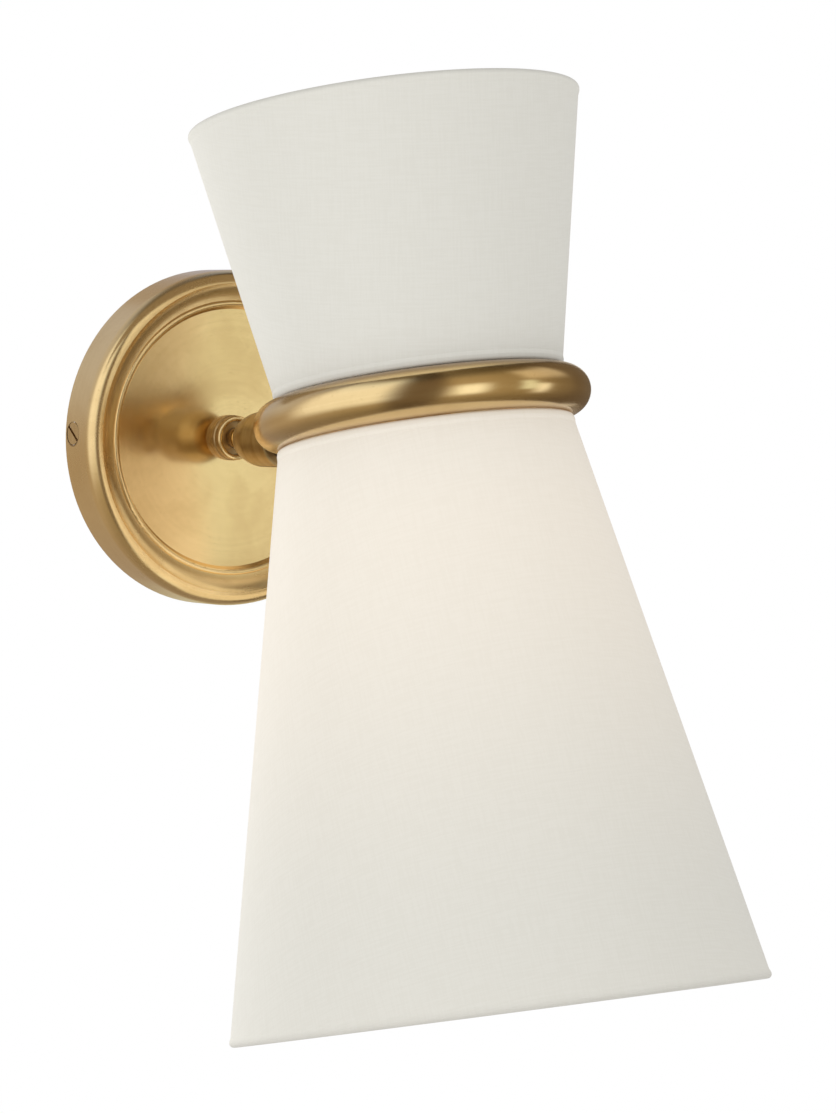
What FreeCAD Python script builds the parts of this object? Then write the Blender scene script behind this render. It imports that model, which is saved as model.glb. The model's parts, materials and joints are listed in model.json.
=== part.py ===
import FreeCAD, Part
import math
import os

# Wall light with a swivelling, tilting fabric shade.
# Row frame: the wall is the plane Y = 0, the light stands out towards -Y, X is to the right
# of someone facing the wall, Z is up. The origin is the middle of the backplate on the wall.
# Turned parts are drawn as (radius, height) outlines. On the wall side the height runs out
# from the wall. On the shade the height runs up the shade's own axis from the ring's centre.
# All sizes are in millimetres and all angles in degrees.

V = FreeCAD.Vector
X_AXIS = V(1, 0, 0)
Y_AXIS = V(0, 1, 0)
Z_AXIS = V(0, 0, 1)
ORIGIN = V(0, 0, 0)

# Backplate cover, spun from sheet. Depths are measured out from the wall.
plate_radius = 70.0
plate_depth = 21.0
plate_corner = 5.5
plate_wall = 1.2
disc_radius = 53.7
disc_depth = 15.8
step_width = 1.2
bead_width = 2.4
bead_height = 0.8
bead_rise = 1.7
cove_bow = 0.65

# Mounting bracket, bent from steel strip
bracket_thickness = 2.0
bracket_width = 24.0
ear_gap = 3.0
ear_margin = 0.25
ear_width = 16.0
bracket_hole_room = 2.0
box_screw_spacing = 88.9
box_slot_width = 5.2
box_slot_length = 14.0

# Screws of the cover and of the earth wire, and how far the cover hangs turned on the wall
side_screw_rim = 1.25
side_screw_radius = 1.9
side_head_radius = 4.6
side_head_room = 0.3
side_slot_turn = 52.0
cover_turn = 4.1
ground_screw_offset = 24.0
ground_screw_radius = 2.0
ground_head_radius = 3.8
ground_head_height = 2.4
slot_width = 1.2
slot_depth = 1.0

# Swivel in the middle of the backplate
spindle_radius = 4.25
spindle_bore_radius = 2.6
spindle_end = 0.7
spindle_nut_wall = 1.75
spindle_nut_height = 3.3
spring_washer_width = 3.7
spring_washer_height = 0.9
bushing_wall = 2.7
bushing_flange_width = 2.45
bushing_flange_height = 2.2
bushing_flange_break = 0.55
bushing_nut_wall = 3.0
bushing_nut_height = 4.0
cup_room = 2.75
cup_wall = 2.2
cup_height = 3.2
cup_floor = 0.8
neck_length = 7.7
neck_ball_rise = 0.65
neck_ball_offset = 2.7

# Bell cup and straight arm in front of the swivel
bell_length = 30.5
bell_wall = 3.5
bell_back_wall = 1.7
bell_shoulder_inset = 2.1
bell_shoulder_length = 4.5
bell_shoulder_bow = 0.7
bell_waist_length = 13.0
bell_waist_bow = 0.35
bell_mouth_inset = 0.2
bell_cavity_room = 3.0
bell_cavity_depth = 19.5
spindle_thread = 6.5
rod_radius = 5.0
rod_bore_radius = 3.0
rod_reveal = 7.0

# Knuckle that tilts the shade
fork_wall = 2.95
fork_root_length = 6.7
fork_clearance = 1.5
fork_socket_floor = 1.5
cheek_thickness = 3.8
cheek_gap = 0.15
tongue_thickness = 6.9
pin_radius = 2.5
screw_head_width = 2.0
screw_head_height = 2.5
knuckle_washer_height = 1.0
knuckle_nut_wall = 1.5
knuckle_nut_height = 3.6

# Ring, hub and the tube that carries them. The shade is canted at rest as the light is shown.
rest_tilt = 10.5
ring_radius = 57.5
ring_tube = 9.5
ring_wall = 1.2
boss_wall = 1.45
boss_reach = 5.0
boss_floor = 2.0
tongue_drop = 1.0
boss_gap = 1.0
tube_radius = 5.0
tube_bore_radius = 3.8
tube_seat = 5.35
hub_web = 0.6
hub_cheek = 3.95
set_screw_radius = 2.0
set_screw_sink = 1.0
nipple_radius = 5.0
nipple_bore_radius = 3.0
nipple_end = 1.9
nipple_tail = 7.0
lead_hole_radius = 2.4
locknut_wall = 3.5
locknut_height = 5.0

# Lampholder and bulb
bulb_base_radius = 13.0
bulb_base_length = 24.0
bulb_base_wall = 1.0
bulb_base_step = 1.2
bulb_radius = 22.5
bulb_length = 78.0
bulb_neck_inset = 1.1
bulb_glass_wall = 1.0
bulb_seat = 2.0
holder_room = 1.0
holder_wall = 1.8
holder_length = 34.0
holder_floor_depth = 6.0
cap_height = 10.95
cap_wall = 1.65
cap_neck_radius = 12.0
cap_rim = 2.0
cap_bow = 1.9
shoulder_offset = 8.0
shoulder_height = 2.0
shoulder_width = 1.5
skirt_wall = 5.5
shell_wall = 0.3
shell_length = 22.0
contact_radius = 3.0
contact_height = 1.2
contact_lap = 2.0
shade_nut_width = 4.0
shade_nut_height = 6.0

# Two fabric cones, radii to the outside of the cloth, heights from the ring's centre
shade_wall = 1.0
seat_gap = 0.2
upper_waist_inset = 0.5
upper_top_radius = 78.0
upper_rim_height = 119.7
lower_waist_outset = 0.8
lower_bottom_radius = 106.5
lower_rim_drop = 238.9
hem_thickness = 0.5
hem_height = 4.0
rim_wire_radius = 1.4
spider_washer_width = 3.0
spider_washer_height = 2.0
spider_arm_count = 3
spider_arm_turn = 30.0
spider_arm_root = 1.0

# Clearances: of pieces screwed or soldered together, of holes, of the bearings that turn,
# and behind the innermost piece at the wall
fit_gap = 0.05
bolt_gap = 0.1
running_gap = 0.05
wall_gap = 1.0

# Broken edges of turned metal
edge_break = 0.5
hub_break = 1.0

# Sizes that follow from those above: backplate and swivel
side_screw_depth = side_head_radius + side_screw_rim
ear_depth = side_screw_depth + side_head_radius + ear_margin
bead_foot = disc_depth + bead_rise
spindle_nut_low = wall_gap + spindle_end
spindle_nut_high = spindle_nut_low + spindle_nut_height
spring_washer_low = spindle_nut_high + fit_gap
spring_washer_high = spring_washer_low + spring_washer_height
bushing_tail = spring_washer_high + fit_gap
spindle_nut_flats = 2 * (spindle_radius + spindle_nut_wall)
bracket_hole_radius = spindle_nut_flats / math.sqrt(3) + bracket_hole_room
bracket_reach = plate_radius - plate_wall - ear_gap
bushing_radius = spindle_radius + running_gap + bushing_wall
bushing_flange_radius = bushing_radius + bushing_flange_width
bushing_seat = disc_depth + fit_gap
cup_seat = bushing_seat + bushing_flange_height + fit_gap
cup_front = cup_seat + cup_height
cup_bore_radius = spindle_radius + cup_room
cup_radius = cup_bore_radius + cup_wall

# Bell, arm and knuckle
bell_back = cup_front + neck_length
bell_front = bell_back + bell_length
bell_cavity_radius = rod_radius + bell_cavity_room
bell_radius = bell_cavity_radius + bell_wall
rod_back = bell_back + spindle_thread + fit_gap
fork_back = bell_front + rod_reveal
fork_floor = fork_back + fork_root_length
rod_front = fork_floor - fork_socket_floor
knuckle_radius = rod_radius + fit_gap + fork_wall
knuckle_reach = fork_floor + fork_clearance + knuckle_radius
cheek_inner = tongue_thickness / 2 + cheek_gap
cheek_face = cheek_inner + cheek_thickness
screw_head_radius = pin_radius + screw_head_width

# Hub, lampholder and shades, on the shade's own axis
boss_radius = tube_radius + fit_gap + boss_wall
boss_back = ring_radius + ring_tube + boss_reach
arm_length = boss_back + boss_gap + knuckle_radius
tube_front = nipple_radius + fit_gap + hub_web
tube_back = boss_back - boss_floor
hub_radius = tube_front + tube_seat
hub_half = tube_radius + fit_gap + hub_cheek
spider_washer_radius = hub_radius + spider_washer_width
set_screw_place = (tube_front + hub_radius) / 2
locknut_low = hub_half + spider_washer_height + 2 * fit_gap
nipple_top = locknut_low + locknut_height + nipple_end
holder_bore_radius = bulb_base_radius + holder_room
holder_radius = holder_bore_radius + holder_wall
cap_top = -hub_half - fit_gap
cap_low = cap_top - cap_height
cap_mouth_radius = holder_radius + fit_gap + cap_wall
holder_low = cap_low - holder_length
holder_floor = cap_low - holder_floor_depth
shoulder_low = cap_low - shoulder_offset - shoulder_height
skirt_radius = holder_bore_radius + skirt_wall
shade_nut_radius = skirt_radius + shade_nut_width
shade_nut_top = shoulder_low - spider_washer_height - 2 * fit_gap
bulb_tip = holder_floor - contact_height - 3 * fit_gap
bulb_base_low = bulb_tip - bulb_base_length
waist_height = ring_tube + seat_gap
upper_waist_radius = ring_radius - upper_waist_inset
lower_waist_radius = ring_radius + lower_waist_outset


def turned(start, *steps):
    """Revolve an outline about Z. A step is (radius, height) for a straight line, or
    (radius, height, bow) for an arc that rises by bow to the right of the way."""
    edges = []
    here = V(start[0], 0, start[1])
    first = here
    for step in steps:
        there = V(step[0], 0, step[1])
        if len(step) == 3:
            way = (there - here).normalize()
            middle = (here + there) * 0.5 + V(way.z, 0, -way.x) * step[2]
            edges.append(Part.Arc(here, middle, there).toShape())
        else:
            edges.append(Part.makeLine(here, there))
        here = there
    edges.append(Part.makeLine(here, first))
    return Part.Face(Part.Wire(edges)).revolve(ORIGIN, Z_AXIS, 360)


def quarter(radius):
    """Bow of a quarter round of this radius."""
    return radius * (1 - math.sqrt(0.5))


def ring_of(inner, outer, low, high):
    """A plain washer between two radii and two heights."""
    return turned((inner, low), (outer, low), (outer, high), (inner, high))


def chamfered_ring(inner, outer, low, high, edge):
    """A washer whose two outer corners are broken."""
    return turned((inner, low), (outer - edge, low), (outer, low + edge),
                  (outer, high - edge), (outer - edge, high), (inner, high))


def hexagon(flats, bore, low, high):
    """A hexagon nut about Z."""
    corner = flats / math.sqrt(3)
    turns = [math.radians(60 * i) for i in range(7)]
    points = [V(corner * math.cos(t), corner * math.sin(t), low) for t in turns]
    nut = Part.Face(Part.makePolygon(points)).extrude(V(0, 0, high - low))
    return nut.cut(Part.makeCylinder(bore, high - low, V(0, 0, low)))


def rod_between(a, b, radius):
    """A round bar from point a to point b."""
    along = b - a
    return Part.makeCylinder(radius, along.Length, a, along)


def block(low, high):
    """A box from its lowest corner to its highest corner."""
    return Part.makeBox(high[0] - low[0], high[1] - low[1], high[2] - low[2], V(*low))


def slotted(shape, centre, along, across, head_radius):
    """Cut a screwdriver slot: centre on the head's face, along its length, across its depth."""
    length = 4 * head_radius
    slot = Part.makeBox(slot_width, length, 2 * slot_depth,
                        V(-slot_width / 2, -length / 2, -slot_depth))
    turn = FreeCAD.Rotation(along.cross(across), along, across, "ZXY")
    slot.Placement = FreeCAD.Placement(centre, turn)
    return shape.cut(slot)


def half_of(shape, side):
    """The half of a shape that lies to the right (side is 1) or to the left (side is -1)."""
    far = 2 * shape.BoundBox.DiagonalLength
    low, high = sorted((side * fit_gap / 2, side * far))
    return shape.common(block((low, -far, -far), (high, far, far)))


def out_from_wall(shape):
    """Turn a part drawn about Z so that its height runs out from the wall."""
    shape = shape.copy()
    shape.rotate(ORIGIN, X_AXIS, 90)
    return shape


def along_pin(shape):
    """Turn a part drawn about Z so that its height runs along the knuckle's pin."""
    shape = shape.copy()
    shape.rotate(ORIGIN, Y_AXIS, 90)
    shape.translate(V(0, -knuckle_reach, 0))
    return shape


def ring_centre():
    """Centre of the ring, from the knuckle's pin and the arm's length."""
    tilt = math.radians(rest_tilt)
    out = knuckle_reach + arm_length * math.cos(tilt)
    return V(0, -out, arm_length * math.sin(tilt))


def on_head(shape):
    """Place a part drawn about the shade's own axis: canted, with its origin in the ring."""
    shape = shape.copy()
    shape.rotate(ORIGIN, X_AXIS, -rest_tilt)
    shape.translate(ring_centre())
    return shape


def save(name, shape):
    """Write one node."""
    for i, solid in enumerate(shape.Solids):
        if not solid.isValid():
            raise ValueError("%s solid %d is not valid" % (name, i))
    print(name, len(shape.Solids), "solid(s)", round(shape.Volume, 1), "mm3")
    shape.exportStep("parts/%s.step" % name)


# Backplate

def hung(shape):
    """The cover hangs a little turned, and the bracket's ears and the side screws with it."""
    shape.rotate(ORIGIN, Y_AXIS, cover_turn)
    return shape


def backplate_cover():
    crest = plate_radius - plate_corner
    bead_in = disc_radius + step_width
    bead_out = bead_in + bead_width
    inside = plate_radius - plate_wall
    hole = bushing_radius + bolt_gap
    shell = turned(
        (plate_radius, 0),
        (plate_radius, plate_depth - plate_corner),
        (crest, plate_depth, quarter(plate_corner)),
        (bead_out, bead_foot, -cove_bow),
        (bead_in, bead_foot, bead_height),
        (disc_radius, disc_depth),
        (hole, disc_depth),
        (hole, disc_depth - plate_wall),
        (disc_radius, disc_depth - plate_wall),
        (bead_out, bead_foot - plate_wall),
        (crest, plate_depth - plate_wall, cove_bow),
        (inside, plate_depth - plate_corner, -quarter(plate_corner - plate_wall)),
        (inside, 0))
    shell = out_from_wall(shell)
    for side in (-1, 1):
        start = V(side * crest, -side_screw_depth, 0)
        end = V(side * (plate_radius + plate_corner), -side_screw_depth, 0)
        shell = shell.cut(rod_between(start, end, side_head_radius + side_head_room))
    return hung(shell)


def bracket_hole(x, radius):
    """A bar that cuts a round hole through the bracket's strip."""
    deep = V(x, -2 * bracket_thickness, 0)
    return rod_between(deep, V(x, bracket_thickness, 0), radius)


def mounting_bracket():
    half = bracket_width / 2
    ear_half = ear_width / 2
    inner = bracket_reach - bracket_thickness
    bar = block((-bracket_reach, -bracket_thickness, -half), (bracket_reach, 0, half))
    for side in (-1, 1):
        low, high = sorted((side * inner, side * bracket_reach))
        bar = bar.fuse(block((low, -ear_depth, -ear_half), (high, 0, ear_half)))
        thread = V(side * (inner - bracket_thickness), -side_screw_depth, 0)
        bar = bar.cut(rod_between(thread, V(side * plate_radius, -side_screw_depth, 0),
                                  side_screw_radius))
    bar = hung(bar)
    bar = bar.cut(bracket_hole(0, bracket_hole_radius))
    bar = bar.cut(bracket_hole(ground_screw_offset, ground_screw_radius))
    straight = (box_slot_length - box_slot_width) / 2
    slot_half = box_slot_width / 2
    for side in (-1, 1):
        middle = side * box_screw_spacing / 2
        bar = bar.cut(block((middle - straight, -2 * bracket_thickness, -slot_half),
                            (middle + straight, bracket_thickness, slot_half)))
        for end in (middle - straight, middle + straight):
            bar = bar.cut(bracket_hole(end, slot_half))
    return bar.removeSplitter()


def cover_side_screws():
    head_face = math.sqrt(plate_radius ** 2 - side_head_radius ** 2)
    slope = math.radians(side_slot_turn)
    slot_way = V(0, -math.sin(slope), -math.cos(slope))
    screws = []
    for side in (-1, 1):
        seat = V(side * (bracket_reach + fit_gap), -side_screw_depth, 0)
        face = V(side * head_face, -side_screw_depth, 0)
        tail = V(side * (bracket_reach - 3 * bracket_thickness), -side_screw_depth, 0)
        screw = rod_between(tail, face, side_screw_radius - fit_gap)
        screw = screw.fuse(rod_between(seat, face, side_head_radius))
        screws.append(slotted(screw, face, slot_way, X_AXIS, side_head_radius))
    return hung(Part.makeCompound(screws))


def ground_screw():
    low = bracket_thickness + fit_gap
    high = low + ground_head_height
    screw = Part.makeCylinder(ground_screw_radius - fit_gap, high)
    head = chamfered_ring(0, ground_head_radius, low, high, edge_break)
    screw = out_from_wall(screw.fuse(head))
    screw.translate(V(ground_screw_offset, 0, 0))
    return slotted(screw, V(ground_screw_offset, -high, 0), Z_AXIS, Y_AXIS, ground_head_radius)


# Swivel

def swivel_bushing():
    top = bushing_seat + bushing_flange_height
    bore = spindle_radius + running_gap
    return out_from_wall(turned(
        (bore, bushing_tail), (bushing_radius, bushing_tail), (bushing_radius, bushing_seat),
        (bushing_flange_radius, bushing_seat),
        (bushing_flange_radius, top - bushing_flange_break),
        (bushing_flange_radius - bushing_flange_break, top), (bore, top)))


def bushing_locknut():
    flats = 2 * (bushing_radius + bushing_nut_wall)
    high = disc_depth - plate_wall - fit_gap
    return out_from_wall(hexagon(flats, bushing_radius + fit_gap, high - bushing_nut_height,
                                 high))


def collar_cup():
    lip = cup_wall / 2
    bore = spindle_radius + bolt_gap
    return out_from_wall(turned(
        (bore, cup_seat), (cup_radius, cup_seat), (cup_radius, cup_front - lip),
        (cup_radius - lip, cup_front, quarter(lip)),
        (cup_bore_radius, cup_front - lip, quarter(lip)),
        (cup_bore_radius, cup_seat + cup_floor), (bore, cup_seat + cup_floor)))


def swivel_spindle():
    ball_radius = spindle_radius + neck_ball_rise
    ball_half = math.sqrt(ball_radius ** 2 - spindle_radius ** 2)
    ball_depth = cup_front + neck_ball_offset
    front = bell_back + spindle_thread
    return out_from_wall(turned(
        (spindle_bore_radius, wall_gap), (spindle_radius, wall_gap),
        (spindle_radius, ball_depth - ball_half),
        (spindle_radius, ball_depth + ball_half, neck_ball_rise),
        (spindle_radius, front), (spindle_bore_radius, front)))


def spindle_spring_washer():
    return out_from_wall(ring_of(spindle_radius + fit_gap, spindle_radius + spring_washer_width,
                                 spring_washer_low, spring_washer_high))


def spindle_locknut():
    return out_from_wall(hexagon(spindle_nut_flats, spindle_radius + fit_gap, spindle_nut_low,
                                 spindle_nut_high))


# Bell, arm and knuckle

def knuckle_bell():
    thread = spindle_radius + fit_gap
    rod_hole = rod_radius + fit_gap
    shoulder = bell_radius - bell_shoulder_inset
    mouth = bell_radius - bell_mouth_inset
    floor = bell_front - bell_cavity_depth
    seat = bell_back + spindle_thread
    return out_from_wall(turned(
        (thread, bell_back), (thread + bell_back_wall, bell_back),
        (shoulder, bell_back + bell_shoulder_length, bell_shoulder_bow),
        (bell_radius, bell_back + bell_waist_length, bell_waist_bow),
        (mouth, bell_front - edge_break), (mouth - edge_break, bell_front),
        (bell_cavity_radius, bell_front), (bell_cavity_radius, floor),
        (rod_hole, floor), (rod_hole, seat), (thread, seat)))


def arm_rod():
    return out_from_wall(chamfered_ring(rod_bore_radius, rod_radius, rod_back, rod_front,
                                        edge_break))


def knuckle_fork():
    pin = V(0, -knuckle_reach, 0)
    far = 2 * knuckle_radius
    fork = rod_between(V(0, -fork_back, 0), V(0, -fork_floor - fork_clearance, 0),
                       knuckle_radius)
    fork = fork.fuse(block((-cheek_face, -knuckle_reach, -knuckle_radius),
                           (cheek_face, -fork_floor, knuckle_radius)))
    fork = fork.fuse(rod_between(pin - V(cheek_face, 0, 0), pin + V(cheek_face, 0, 0),
                                 knuckle_radius))
    fork = fork.cut(block((-cheek_inner, -knuckle_reach - far, -far),
                          (cheek_inner, -fork_floor, far)))
    fork = fork.cut(rod_between(pin - V(far, 0, 0), pin + V(far, 0, 0),
                                pin_radius + running_gap))
    fork = fork.cut(rod_between(V(0, -bell_front, 0), V(0, -rod_front - fit_gap, 0),
                                rod_radius + fit_gap))
    return fork.removeSplitter()


def knuckle_screw():
    end = cheek_face + knuckle_washer_height + knuckle_nut_height + 3 * fit_gap
    head = -cheek_face - fit_gap - screw_head_height
    screw = Part.makeCylinder(pin_radius, end - head, V(0, 0, head))
    screw = screw.fuse(chamfered_ring(0, screw_head_radius, head, head + screw_head_height,
                                      edge_break))
    return slotted(along_pin(screw), V(head, -knuckle_reach, 0), Z_AXIS, X_AXIS,
                   screw_head_radius)


def knuckle_washer():
    low = cheek_face + fit_gap
    return along_pin(ring_of(pin_radius + fit_gap, screw_head_radius, low,
                             low + knuckle_washer_height))


def knuckle_nut():
    low = cheek_face + 2 * fit_gap + knuckle_washer_height
    flats = 2 * (pin_radius + knuckle_nut_wall)
    return along_pin(hexagon(flats, pin_radius + fit_gap, low, low + knuckle_nut_height))


# Ring, tube and hub. The tube runs from the hub back through the ring to the knuckle.

def ring_body():
    return Part.makeTorus(ring_radius, ring_tube)


def knuckle_tongue():
    pin = V(0, arm_length, 0)
    half = tongue_thickness / 2
    flat_half = boss_radius - tongue_drop
    tongue = rod_between(pin - V(half, 0, 0), pin + V(half, 0, 0), knuckle_radius)
    tongue = tongue.fuse(block((-half, tube_back, -flat_half), (half, arm_length, flat_half)))
    tongue = tongue.fuse(rod_between(V(0, ring_radius, 0), V(0, boss_back, 0), boss_radius))
    tongue = tongue.cut(ring_body())
    tongue = tongue.cut(rod_between(pin - V(knuckle_radius, 0, 0), pin + V(knuckle_radius, 0, 0),
                                    pin_radius + running_gap))
    tongue = tongue.cut(rod_between(V(0, ring_radius, 0), V(0, tube_back + fit_gap, 0),
                                    tube_radius + fit_gap))
    return tongue.removeSplitter()


def arm_tube():
    tube = rod_between(V(0, tube_front + fit_gap, 0), V(0, tube_back, 0), tube_radius)
    return tube.cut(rod_between(ORIGIN, V(0, boss_back, 0), tube_bore_radius))


def waist_ring():
    """The ring is bent from tube in two halves, joined at the front and at the boss."""
    ring = ring_body().cut(Part.makeTorus(ring_radius, ring_tube - ring_wall))
    return ring.cut(rod_between(ORIGIN, V(0, boss_back, 0), tube_radius + fit_gap))


def hub():
    body = chamfered_ring(nipple_radius + fit_gap, hub_radius, -hub_half, hub_half, hub_break)
    seat = V(0, tube_front, 0)
    body = body.cut(rod_between(seat, V(0, 2 * hub_radius, 0), tube_radius + fit_gap))
    body = body.cut(rod_between(ORIGIN, seat, lead_hole_radius))
    return body.cut(rod_between(V(0, set_screw_place, 0), V(0, set_screw_place, 2 * hub_half),
                                set_screw_radius))


def hub_set_screw():
    low = V(0, set_screw_place, tube_radius + fit_gap)
    high = V(0, set_screw_place, hub_half - set_screw_sink)
    screw = rod_between(low, high, set_screw_radius - fit_gap)
    return screw.cut(rod_between(high - V(0, 0, slot_depth), high, set_screw_radius / 2))


def socket_nipple():
    tube = ring_of(nipple_bore_radius, nipple_radius, -hub_half - nipple_tail, nipple_top)
    return tube.cut(rod_between(ORIGIN, V(0, hub_radius, 0), lead_hole_radius))


def upper_locknut():
    flats = 2 * (nipple_radius + locknut_wall)
    return hexagon(flats, nipple_radius + fit_gap, locknut_low, locknut_low + locknut_height)


# Lampholder and bulb

def socket_cap():
    bore = nipple_radius + fit_gap
    return turned(
        (bore, cap_top), (cap_neck_radius, cap_top), (cap_mouth_radius, cap_low, -cap_bow),
        (holder_radius + fit_gap, cap_low), (holder_radius + fit_gap, cap_low + cap_rim),
        (cap_neck_radius - cap_wall, cap_top - cap_wall), (bore, cap_top - cap_wall))


def socket_body():
    bore = nipple_radius + fit_gap
    lip = cap_low - fit_gap
    shoulder = skirt_radius + shoulder_width
    return turned(
        (bore, cap_low + cap_rim), (holder_radius, cap_low + cap_rim), (holder_radius, lip),
        (cap_mouth_radius, lip), (cap_mouth_radius, shoulder_low + shoulder_height),
        (shoulder, shoulder_low + shoulder_height), (shoulder, shoulder_low),
        (skirt_radius, shoulder_low), (skirt_radius, holder_low),
        (holder_bore_radius, holder_low), (holder_bore_radius, holder_floor),
        (bore, holder_floor))


def socket_screw_shell():
    outer = holder_bore_radius - fit_gap
    high = holder_floor - 2 * contact_height
    return ring_of(outer - shell_wall, outer, high - shell_length, high)


def socket_contact():
    top = holder_floor - fit_gap
    step = top - contact_height / 2
    spread = nipple_radius + contact_lap
    return turned((0, top - contact_height), (contact_radius, top - contact_height),
                  (contact_radius, step), (spread, step), (spread, top), (0, top))


def shade_ring_nut():
    return chamfered_ring(skirt_radius + fit_gap, shade_nut_radius,
                          shade_nut_top - shade_nut_height, shade_nut_top, edge_break)


def bulb_base():
    wall = bulb_base_radius - bulb_base_wall
    shoulder = bulb_tip - 3 * bulb_base_step
    return turned(
        (0, bulb_tip), (contact_radius, bulb_tip),
        (contact_radius, bulb_tip - bulb_base_step),
        (bulb_base_radius - bulb_base_step, bulb_tip - 2 * bulb_base_step),
        (bulb_base_radius, shoulder), (bulb_base_radius, bulb_base_low),
        (wall, bulb_base_low), (wall, shoulder - bulb_base_wall),
        (0, shoulder - bulb_base_wall))


def bulb_body(inset, top):
    """Solid of the bulb's outline: a straight neck, a hollow curve and a ball, all tangent."""
    ball = bulb_radius - inset
    neck = bulb_base_radius - bulb_neck_inset - inset
    neck_low = bulb_base_low - fit_gap
    centre = bulb_tip - bulb_length + bulb_radius
    rise = neck_low - centre
    curve = (neck ** 2 + rise ** 2 - ball ** 2) / (2 * (ball - neck))
    lean = math.atan2(rise, neck + curve)
    join = (ball * math.cos(lean), centre + ball * math.sin(lean))
    ball_turn = lean + math.pi / 2
    return turned((0, top), (neck, top), (neck, neck_low),
                  (*join, curve * (1 - math.cos(lean / 2))),
                  (0, centre - ball, -ball * (1 - math.cos(ball_turn / 2))))


def bulb_glass():
    top = bulb_base_low + bulb_seat
    return bulb_body(0, top).cut(bulb_body(bulb_glass_wall, top - bulb_glass_wall))


# Shades. A rim is a height of the cloth's edge, and way is +1 where the shade lies above the
# rim, -1 where it lies below.

def cloth_radius(height):
    """Outside radius of the cloth at a height above the ring's centre."""
    if height > 0:
        low, high = waist_height, upper_rim_height
        low_radius, high_radius = upper_waist_radius, upper_top_radius
    else:
        low, high = -waist_height, -lower_rim_drop
        low_radius, high_radius = lower_waist_radius, lower_bottom_radius
    return low_radius + (high_radius - low_radius) * (height - low) / (high - low)


def shade_cloth(low, high):
    """A cone of cloth on card, short of its hems' folds."""
    low = low + hem_thickness + fit_gap
    high = high - hem_thickness - fit_gap
    return turned((cloth_radius(low) - shade_wall, low), (cloth_radius(low), low),
                  (cloth_radius(high), high), (cloth_radius(high) - shade_wall, high))


def hem(rim, way):
    """A folded hem over a rim, round the cloth and the rim wire."""
    def at(offset, height):
        return (cloth_radius(height) + offset, height)
    web = rim + way * hem_thickness
    end = rim + way * hem_height
    deep = shade_wall + 2 * rim_wire_radius + 3 * fit_gap
    skin = fit_gap + hem_thickness
    return turned(at(skin, rim), at(skin, end), at(fit_gap, end), at(fit_gap, web),
                  at(-deep, web), at(-deep, end), at(-deep - hem_thickness, end),
                  at(-deep - hem_thickness, rim))


def wire_place(rim, way):
    """Radius and height of the rim wire's centre line inside a hem."""
    height = rim + way * (hem_thickness + fit_gap + rim_wire_radius)
    return cloth_radius(height) - shade_wall - 2 * fit_gap - rim_wire_radius, height


def rim_wire(rim, way):
    radius, height = wire_place(rim, way)
    return Part.makeTorus(radius, rim_wire_radius, V(0, 0, height))


def spider_arms(start, rim, way, radius):
    """Bars from a spider's washer out to the rim wire."""
    reach, height = wire_place(rim, way)
    bars = []
    for i in range(spider_arm_count):
        turn = math.radians(spider_arm_turn + 360 * i / spider_arm_count)
        out = V(math.cos(turn), math.sin(turn), 0)
        bars.append(rod_between(out * start[0] + V(0, 0, start[1]),
                                out * reach + V(0, 0, height), radius))
    return bars


def spider(washer, start, rim, way):
    """A washer with bars that are welded to the rim wire at the waist."""
    for bar in spider_arms(start, rim, way, rim_wire_radius):
        washer = washer.fuse(bar)
    radius, height = wire_place(rim, way)
    return washer.cut(Part.makeTorus(radius, rim_wire_radius + fit_gap, V(0, 0, height)))


def notched_hem(start, rim, way):
    """The hem at the waist, with room for the spider's bars."""
    folded = hem(rim, way)
    for bar in spider_arms(start, rim, way, rim_wire_radius + 2 * bolt_gap):
        folded = folded.cut(bar)
    return folded


def upper_arm_start():
    """Radius and height at which the upper spider's bars leave its washer."""
    return spider_washer_radius - spider_arm_root, wire_place(waist_height, 1)[1]


def lower_arm_start():
    """Radius and height at which the lower spider's bars leave its washer."""
    return shade_nut_radius - spider_arm_root, shoulder_low - fit_gap - spider_washer_height / 2


def upper_spider():
    low = hub_half + fit_gap
    washer = ring_of(nipple_radius + fit_gap, spider_washer_radius, low,
                     low + spider_washer_height)
    return spider(washer, upper_arm_start(), waist_height, 1)


def lower_spider():
    high = shoulder_low - fit_gap
    washer = ring_of(skirt_radius + bolt_gap, shade_nut_radius, high - spider_washer_height, high)
    return spider(washer, lower_arm_start(), -waist_height, -1)


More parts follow.
